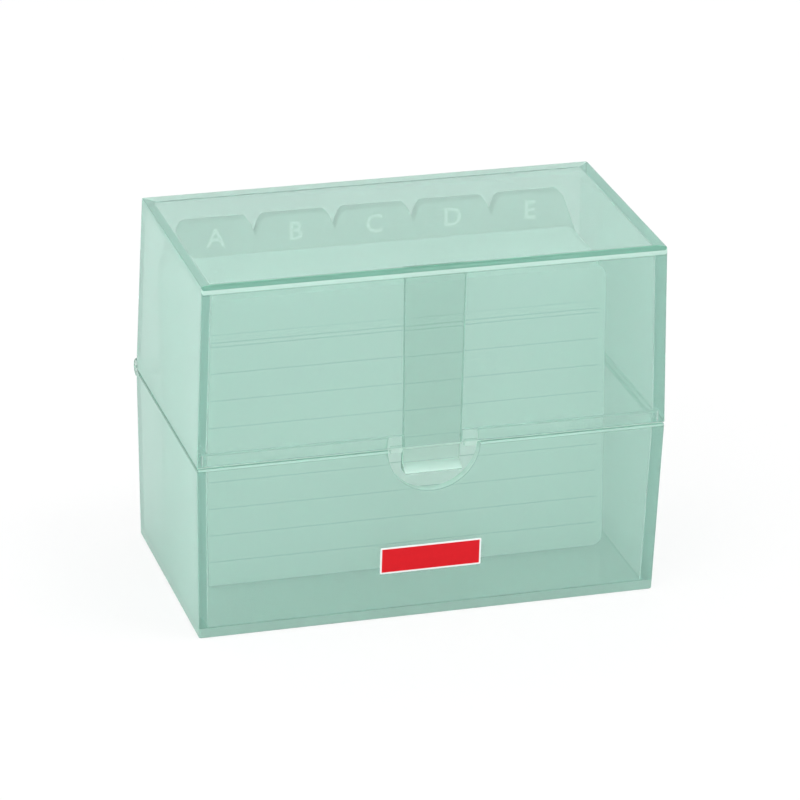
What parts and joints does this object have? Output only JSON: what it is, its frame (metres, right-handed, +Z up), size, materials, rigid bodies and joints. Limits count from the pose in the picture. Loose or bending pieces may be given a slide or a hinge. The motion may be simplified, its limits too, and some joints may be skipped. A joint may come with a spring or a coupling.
{
  "type": "index card box",
  "caption": "Closed index card box in clear green plastic with a hinged lid, a finger notch, a front label, A7 cards and a register of tabbed dividers.",
  "frame": {"origin": "on the underside, below the middle of the overall bounding box", "axes": "+Z up, +Y towards the hinge at the back, +X to the right of a person in front of the box"},
  "size_m": [0.118, 0.0663, 0.0916],
  "materials": {
    "mint_plastic": "clear tinted, polished",
    "label_film": "printed film",
    "card_paper": "white card",
    "divider_film": "thin tinted film"
  },
  "bodies": {
    "tray": {"tray": "mint_plastic", "front_label": "label_film"},
    "lid": {"lid": "mint_plastic"},
    "card_pack_01": {"card_pack_01": "card_paper"},
    "card_pack_02": {"card_pack_02": "card_paper"},
    "card_pack_03": {"card_pack_03": "card_paper"},
    "card_pack_04": {"card_pack_04": "card_paper"},
    "card_pack_05": {"card_pack_05": "card_paper"},
    "card_pack_06": {"card_pack_06": "card_paper"},
    "card_pack_07": {"card_pack_07": "card_paper"},
    "card_pack_08": {"card_pack_08": "card_paper"},
    "card_pack_09": {"card_pack_09": "card_paper"},
    "card_pack_10": {"card_pack_10": "card_paper"},
    "card_pack_11": {"card_pack_11": "card_paper"},
    "card_pack_12": {"card_pack_12": "card_paper"},
    "card_pack_13": {"card_pack_13": "card_paper"},
    "card_pack_14": {"card_pack_14": "card_paper"},
    "card_pack_15": {"card_pack_15": "card_paper"},
    "card_pack_16": {"card_pack_16": "card_paper"},
    "card_pack_17": {"card_pack_17": "card_paper"},
    "card_pack_18": {"card_pack_18": "card_paper"},
    "card_pack_19": {"card_pack_19": "card_paper"},
    "card_pack_20": {"card_pack_20": "card_paper"},
    "card_pack_21": {"card_pack_21": "card_paper"},
    "card_pack_22": {"card_pack_22": "card_paper"},
    "card_pack_23": {"card_pack_23": "card_paper"},
    "card_pack_24": {"card_pack_24": "card_paper"},
    "card_pack_25": {"card_pack_25": "card_paper"},
    "divider_a": {"divider_a": "divider_film"},
    "divider_b": {"divider_b": "divider_film"},
    "divider_c": {"divider_c": "divider_film"},
    "divider_d": {"divider_d": "divider_film"},
    "divider_e": {"divider_e": "divider_film"},
    "divider_f": {"divider_f": "divider_film"},
    "divider_g": {"divider_g": "divider_film"},
    "divider_h": {"divider_h": "divider_film"},
    "divider_ij": {"divider_ij": "divider_film"},
    "divider_k": {"divider_k": "divider_film"},
    "divider_l": {"divider_l": "divider_film"},
    "divider_m": {"divider_m": "divider_film"},
    "divider_n": {"divider_n": "divider_film"},
    "divider_o": {"divider_o": "divider_film"},
    "divider_p": {"divider_p": "divider_film"},
    "divider_q": {"divider_q": "divider_film"},
    "divider_r": {"divider_r": "divider_film"},
    "divider_s": {"divider_s": "divider_film"},
    "divider_t": {"divider_t": "divider_film"},
    "divider_u": {"divider_u": "divider_film"},
    "divider_v": {"divider_v": "divider_film"},
    "divider_w": {"divider_w": "divider_film"},
    "divider_x": {"divider_x": "divider_film"},
    "divider_y": {"divider_y": "divider_film"},
    "divider_z": {"divider_z": "divider_film"}
  },
  "joints": [
    {"name": "lid_hinge", "type": "hinge", "parent": "tray", "child": "lid", "pos_m": [0, 0.03078, 0.0454], "axis": [-1, 0, 0], "range_deg": [0, 105]},
    {"name": "card_pack_01_lean", "type": "hinge", "parent": "tray", "child": "card_pack_01", "pos_m": [0, -0.00789, 0.0023], "axis": [1, 0, 0], "range_deg": [0, 14.5]},
    {"name": "card_pack_02_lean", "type": "hinge", "parent": "tray", "child": "card_pack_02", "pos_m": [0, -0.00694, 0.0023], "axis": [1, 0, 0], "range_deg": [0, 14.34]},
    {"name": "card_pack_03_lean", "type": "hinge", "parent": "tray", "child": "card_pack_03", "pos_m": [0, -0.00599, 0.0023], "axis": [1, 0, 0], "range_deg": [0, 14.14]},
    {"name": "card_pack_04_lean", "type": "hinge", "parent": "tray", "child": "card_pack_04", "pos_m": [0, -0.00505, 0.0023], "axis": [1, 0, 0], "range_deg": [0, 13.93]},
    {"name": "card_pack_05_lean", "type": "hinge", "parent": "tray", "child": "card_pack_05", "pos_m": [0, -0.0041, 0.0023], "axis": [1, 0, 0], "range_deg": [0, 13.72]},
    {"name": "card_pack_06_lean", "type": "hinge", "parent": "tray", "child": "card_pack_06", "pos_m": [0, -0.00315, 0.0023], "axis": [1, 0, 0], "range_deg": [0, 13.51]},
    {"name": "card_pack_07_lean", "type": "hinge", "parent": "tray", "child": "card_pack_07", "pos_m": [0, -0.0022, 0.0023], "axis": [1, 0, 0], "range_deg": [0, 13.31]},
    {"name": "card_pack_08_lean", "type": "hinge", "parent": "tray", "child": "card_pack_08", "pos_m": [0, -0.00125, 0.0023], "axis": [1, 0, 0], "range_deg": [0, 13.1]},
    {"name": "card_pack_09_lean", "type": "hinge", "parent": "tray", "child": "card_pack_09", "pos_m": [0, -0.0003, 0.0023], "axis": [1, 0, 0], "range_deg": [0, 12.89]},
    {"name": "card_pack_10_lean", "type": "hinge", "parent": "tray", "child": "card_pack_10", "pos_m": [0, 0.00065, 0.0023], "axis": [1, 0, 0], "range_deg": [0, 12.69]},
    {"name": "card_pack_11_lean", "type": "hinge", "parent": "tray", "child": "card_pack_11", "pos_m": [0, 0.0016, 0.0023], "axis": [1, 0, 0], "range_deg": [0, 12.48]},
    {"name": "card_pack_12_lean", "type": "hinge", "parent": "tray", "child": "card_pack_12", "pos_m": [0, 0.00255, 0.0023], "axis": [1, 0, 0], "range_deg": [0, 12.27]},
    {"name": "card_pack_13_lean", "type": "hinge", "parent": "tray", "child": "card_pack_13", "pos_m": [0, 0.00349, 0.0023], "axis": [1, 0, 0], "range_deg": [0, 12.06]},
    {"name": "card_pack_14_lean", "type": "hinge", "parent": "tray", "child": "card_pack_14", "pos_m": [0, 0.00444, 0.0023], "axis": [1, 0, 0], "range_deg": [0, 11.86]},
    {"name": "card_pack_15_lean", "type": "hinge", "parent": "tray", "child": "card_pack_15", "pos_m": [0, 0.00539, 0.0023], "axis": [1, 0, 0], "range_deg": [0, 11.65]},
    {"name": "card_pack_16_lean", "type": "hinge", "parent": "tray", "child": "card_pack_16", "pos_m": [0, 0.00634, 0.0023], "axis": [1, 0, 0], "range_deg": [0, 11.44]},
    {"name": "card_pack_17_lean", "type": "hinge", "parent": "tray", "child": "card_pack_17", "pos_m": [0, 0.00729, 0.0023], "axis": [1, 0, 0], "range_deg": [0, 11.24]},
    {"name": "card_pack_18_lean", "type": "hinge", "parent": "tray", "child": "card_pack_18", "pos_m": [0, 0.00824, 0.0023], "axis": [1, 0, 0], "range_deg": [0, 11.03]},
    {"name": "card_pack_19_lean", "type": "hinge", "parent": "tray", "child": "card_pack_19", "pos_m": [0, 0.00919, 0.0023], "axis": [1, 0, 0], "range_deg": [0, 10.82]},
    {"name": "card_pack_20_lean", "type": "hinge", "parent": "tray", "child": "card_pack_20", "pos_m": [0, 0.01014, 0.0023], "axis": [1, 0, 0], "range_deg": [0, 10.61]},
    {"name": "card_pack_21_lean", "type": "hinge", "parent": "tray", "child": "card_pack_21", "pos_m": [0, 0.01109, 0.0023], "axis": [1, 0, 0], "range_deg": [0, 10.41]},
    {"name": "card_pack_22_lean", "type": "hinge", "parent": "tray", "child": "card_pack_22", "pos_m": [0, 0.01204, 0.0023], "axis": [1, 0, 0], "range_deg": [0, 10.2]},
    {"name": "card_pack_23_lean", "type": "hinge", "parent": "tray", "child": "card_pack_23", "pos_m": [0, 0.01298, 0.0023], "axis": [1, 0, 0], "range_deg": [0, 9.99]},
    {"name": "card_pack_24_lean", "type": "hinge", "parent": "tray", "child": "card_pack_24", "pos_m": [0, 0.01393, 0.0023], "axis": [1, 0, 0], "range_deg": [0, 9.79]},
    {"name": "card_pack_25_lean", "type": "hinge", "parent": "tray", "child": "card_pack_25", "pos_m": [0, 0.01488, 0.0023], "axis": [1, 0, 0], "range_deg": [0, 9.58]},
    {"name": "divider_a_lean", "type": "hinge", "parent": "tray", "child": "divider_a", "pos_m": [0, 0.01544, 0.0023], "axis": [1, 0, 0], "range_deg": [0, 9.37]},
    {"name": "divider_b_lean", "type": "hinge", "parent": "tray", "child": "divider_b", "pos_m": [0, 0.01559, 0.0023], "axis": [1, 0, 0], "range_deg": [0, 9.16]},
    {"name": "divider_c_lean", "type": "hinge", "parent": "tray", "child": "divider_c", "pos_m": [0, 0.01575, 0.0023], "axis": [1, 0, 0], "range_deg": [0, 8.96]},
    {"name": "divider_d_lean", "type": "hinge", "parent": "tray", "child": "divider_d", "pos_m": [0, 0.0159, 0.0023], "axis": [1, 0, 0], "range_deg": [0, 8.75]},
    {"name": "divider_e_lean", "type": "hinge", "parent": "tray", "child": "divider_e", "pos_m": [0, 0.01606, 0.0023], "axis": [1, 0, 0], "range_deg": [0, 8.54]},
    {"name": "divider_f_lean", "type": "hinge", "parent": "tray", "child": "divider_f", "pos_m": [0, 0.01622, 0.0023], "axis": [1, 0, 0], "range_deg": [0, 8.34]},
    {"name": "divider_g_lean", "type": "hinge", "parent": "tray", "child": "divider_g", "pos_m": [0, 0.01638, 0.0023], "axis": [1, 0, 0], "range_deg": [0, 8.13]},
    {"name": "divider_h_lean", "type": "hinge", "parent": "tray", "child": "divider_h", "pos_m": [0, 0.01653, 0.0023], "axis": [1, 0, 0], "range_deg": [0, 7.92]},
    {"name": "divider_ij_lean", "type": "hinge", "parent": "tray", "child": "divider_ij", "pos_m": [0, 0.01669, 0.0023], "axis": [1, 0, 0], "range_deg": [0, 7.71]},
    {"name": "divider_k_lean", "type": "hinge", "parent": "tray", "child": "divider_k", "pos_m": [0, 0.01685, 0.0023], "axis": [1, 0, 0], "range_deg": [0, 7.51]},
    {"name": "divider_l_lean", "type": "hinge", "parent": "tray", "child": "divider_l", "pos_m": [0, 0.017, 0.0023], "axis": [1, 0, 0], "range_deg": [0, 7.3]},
    {"name": "divider_m_lean", "type": "hinge", "parent": "tray", "child": "divider_m", "pos_m": [0, 0.01716, 0.0023], "axis": [1, 0, 0], "range_deg": [0, 7.09]},
    {"name": "divider_n_lean", "type": "hinge", "parent": "tray", "child": "divider_n", "pos_m": [0, 0.01732, 0.0023], "axis": [1, 0, 0], "range_deg": [0, 6.89]},
    {"name": "divider_o_lean", "type": "hinge", "parent": "tray", "child": "divider_o", "pos_m": [0, 0.01747, 0.0023], "axis": [1, 0, 0], "range_deg": [0, 6.68]},
    {"name": "divider_p_lean", "type": "hinge", "parent": "tray", "child": "divider_p", "pos_m": [0, 0.01763, 0.0023], "axis": [1, 0, 0], "range_deg": [0, 6.47]},
    {"name": "divider_q_lean", "type": "hinge", "parent": "tray", "child": "divider_q", "pos_m": [0, 0.01779, 0.0023], "axis": [1, 0, 0], "range_deg": [0, 6.26]},
    {"name": "divider_r_lean", "type": "hinge", "parent": "tray", "child": "divider_r", "pos_m": [0, 0.01794, 0.0023], "axis": [1, 0, 0], "range_deg": [0, 6.06]},
    {"name": "divider_s_lean", "type": "hinge", "parent": "tray", "child": "divider_s", "pos_m": [0, 0.0181, 0.0023], "axis": [1, 0, 0], "range_deg": [0, 5.85]},
    {"name": "divider_t_lean", "type": "hinge", "parent": "tray", "child": "divider_t", "pos_m": [0, 0.01826, 0.0023], "axis": [1, 0, 0], "range_deg": [0, 5.64]},
    {"name": "divider_u_lean", "type": "hinge", "parent": "tray", "child": "divider_u", "pos_m": [0, 0.01842, 0.0023], "axis": [1, 0, 0], "range_deg": [0, 5.44]},
    {"name": "divider_v_lean", "type": "hinge", "parent": "tray", "child": "divider_v", "pos_m": [0, 0.01857, 0.0023], "axis": [1, 0, 0], "range_deg": [0, 5.23]},
    {"name": "divider_w_lean", "type": "hinge", "parent": "tray", "child": "divider_w", "pos_m": [0, 0.01873, 0.0023], "axis": [1, 0, 0], "range_deg": [0, 5.02]},
    {"name": "divider_x_lean", "type": "hinge", "parent": "tray", "child": "divider_x", "pos_m": [0, 0.01888, 0.0023], "axis": [1, 0, 0], "range_deg": [0, 4.81]},
    {"name": "divider_y_lean", "type": "hinge", "parent": "tray", "child": "divider_y", "pos_m": [0, 0.01904, 0.0023], "axis": [1, 0, 0], "range_deg": [0, 4.61]},
    {"name": "divider_z_lean", "type": "hinge", "parent": "tray", "child": "divider_z", "pos_m": [0, 0.0192, 0.0023], "axis": [1, 0, 0], "range_deg": [0, 4.4]}
  ],
  "couplings": [
    {"joint": "card_pack_02_lean", "follows": "card_pack_01_lean", "ratio": 0.9857},
    {"joint": "card_pack_03_lean", "follows": "card_pack_01_lean", "ratio": 0.9714},
    {"joint": "card_pack_04_lean", "follows": "card_pack_01_lean", "ratio": 0.9571},
    {"joint": "card_pack_05_lean", "follows": "card_pack_01_lean", "ratio": 0.9429},
    {"joint": "card_pack_06_lean", "follows": "card_pack_01_lean", "ratio": 0.9286},
    {"joint": "card_pack_07_lean", "follows": "card_pack_01_lean", "ratio": 0.9143},
    {"joint": "card_pack_08_lean", "follows": "card_pack_01_lean", "ratio": 0.9},
    {"joint": "card_pack_09_lean", "follows": "card_pack_01_lean", "ratio": 0.8857},
    {"joint": "card_pack_10_lean", "follows": "card_pack_01_lean", "ratio": 0.8714},
    {"joint": "card_pack_11_lean", "follows": "card_pack_01_lean", "ratio": 0.8571},
    {"joint": "card_pack_12_lean", "follows": "card_pack_01_lean", "ratio": 0.8429},
    {"joint": "card_pack_13_lean", "follows": "card_pack_01_lean", "ratio": 0.8286},
    {"joint": "card_pack_14_lean", "follows": "card_pack_01_lean", "ratio": 0.8143},
    {"joint": "card_pack_15_lean", "follows": "card_pack_01_lean", "ratio": 0.8},
    {"joint": "card_pack_16_lean", "follows": "card_pack_01_lean", "ratio": 0.7857},
    {"joint": "card_pack_17_lean", "follows": "card_pack_01_lean", "ratio": 0.7714},
    {"joint": "card_pack_18_lean", "follows": "card_pack_01_lean", "ratio": 0.7571},
    {"joint": "card_pack_19_lean", "follows": "card_pack_01_lean", "ratio": 0.7429},
    {"joint": "card_pack_20_lean", "follows": "card_pack_01_lean", "ratio": 0.7286},
    {"joint": "card_pack_21_lean", "follows": "card_pack_01_lean", "ratio": 0.7143},
    {"joint": "card_pack_22_lean", "follows": "card_pack_01_lean", "ratio": 0.7},
    {"joint": "card_pack_23_lean", "follows": "card_pack_01_lean", "ratio": 0.6857},
    {"joint": "card_pack_24_lean", "follows": "card_pack_01_lean", "ratio": 0.6714},
    {"joint": "card_pack_25_lean", "follows": "card_pack_01_lean", "ratio": 0.6571},
    {"joint": "divider_a_lean", "follows": "card_pack_01_lean", "ratio": 0.6429},
    {"joint": "divider_b_lean", "follows": "card_pack_01_lean", "ratio": 0.6286},
    {"joint": "divider_c_lean", "follows": "card_pack_01_lean", "ratio": 0.6143},
    {"joint": "divider_d_lean", "follows": "card_pack_01_lean", "ratio": 0.6},
    {"joint": "divider_e_lean", "follows": "card_pack_01_lean", "ratio": 0.5857},
    {"joint": "divider_f_lean", "follows": "card_pack_01_lean", "ratio": 0.5714},
    {"joint": "divider_g_lean", "follows": "card_pack_01_lean", "ratio": 0.5571},
    {"joint": "divider_h_lean", "follows": "card_pack_01_lean", "ratio": 0.5429},
    {"joint": "divider_ij_lean", "follows": "card_pack_01_lean", "ratio": 0.5286},
    {"joint": "divider_k_lean", "follows": "card_pack_01_lean", "ratio": 0.5143},
    {"joint": "divider_l_lean", "follows": "card_pack_01_lean", "ratio": 0.5},
    {"joint": "divider_m_lean", "follows": "card_pack_01_lean", "ratio": 0.4857},
    {"joint": "divider_n_lean", "follows": "card_pack_01_lean", "ratio": 0.4714},
    {"joint": "divider_o_lean", "follows": "card_pack_01_lean", "ratio": 0.4571},
    {"joint": "divider_p_lean", "follows": "card_pack_01_lean", "ratio": 0.4429},
    {"joint": "divider_q_lean", "follows": "card_pack_01_lean", "ratio": 0.4286},
    {"joint": "divider_r_lean", "follows": "card_pack_01_lean", "ratio": 0.4143},
    {"joint": "divider_s_lean", "follows": "card_pack_01_lean", "ratio": 0.4},
    {"joint": "divider_t_lean", "follows": "card_pack_01_lean", "ratio": 0.3857},
    {"joint": "divider_u_lean", "follows": "card_pack_01_lean", "ratio": 0.3714},
    {"joint": "divider_v_lean", "follows": "card_pack_01_lean", "ratio": 0.3571},
    {"joint": "divider_w_lean", "follows": "card_pack_01_lean", "ratio": 0.3429},
    {"joint": "divider_x_lean", "follows": "card_pack_01_lean", "ratio": 0.3286},
    {"joint": "divider_y_lean", "follows": "card_pack_01_lean", "ratio": 0.3143},
    {"joint": "divider_z_lean", "follows": "card_pack_01_lean", "ratio": 0.3}
  ]
}
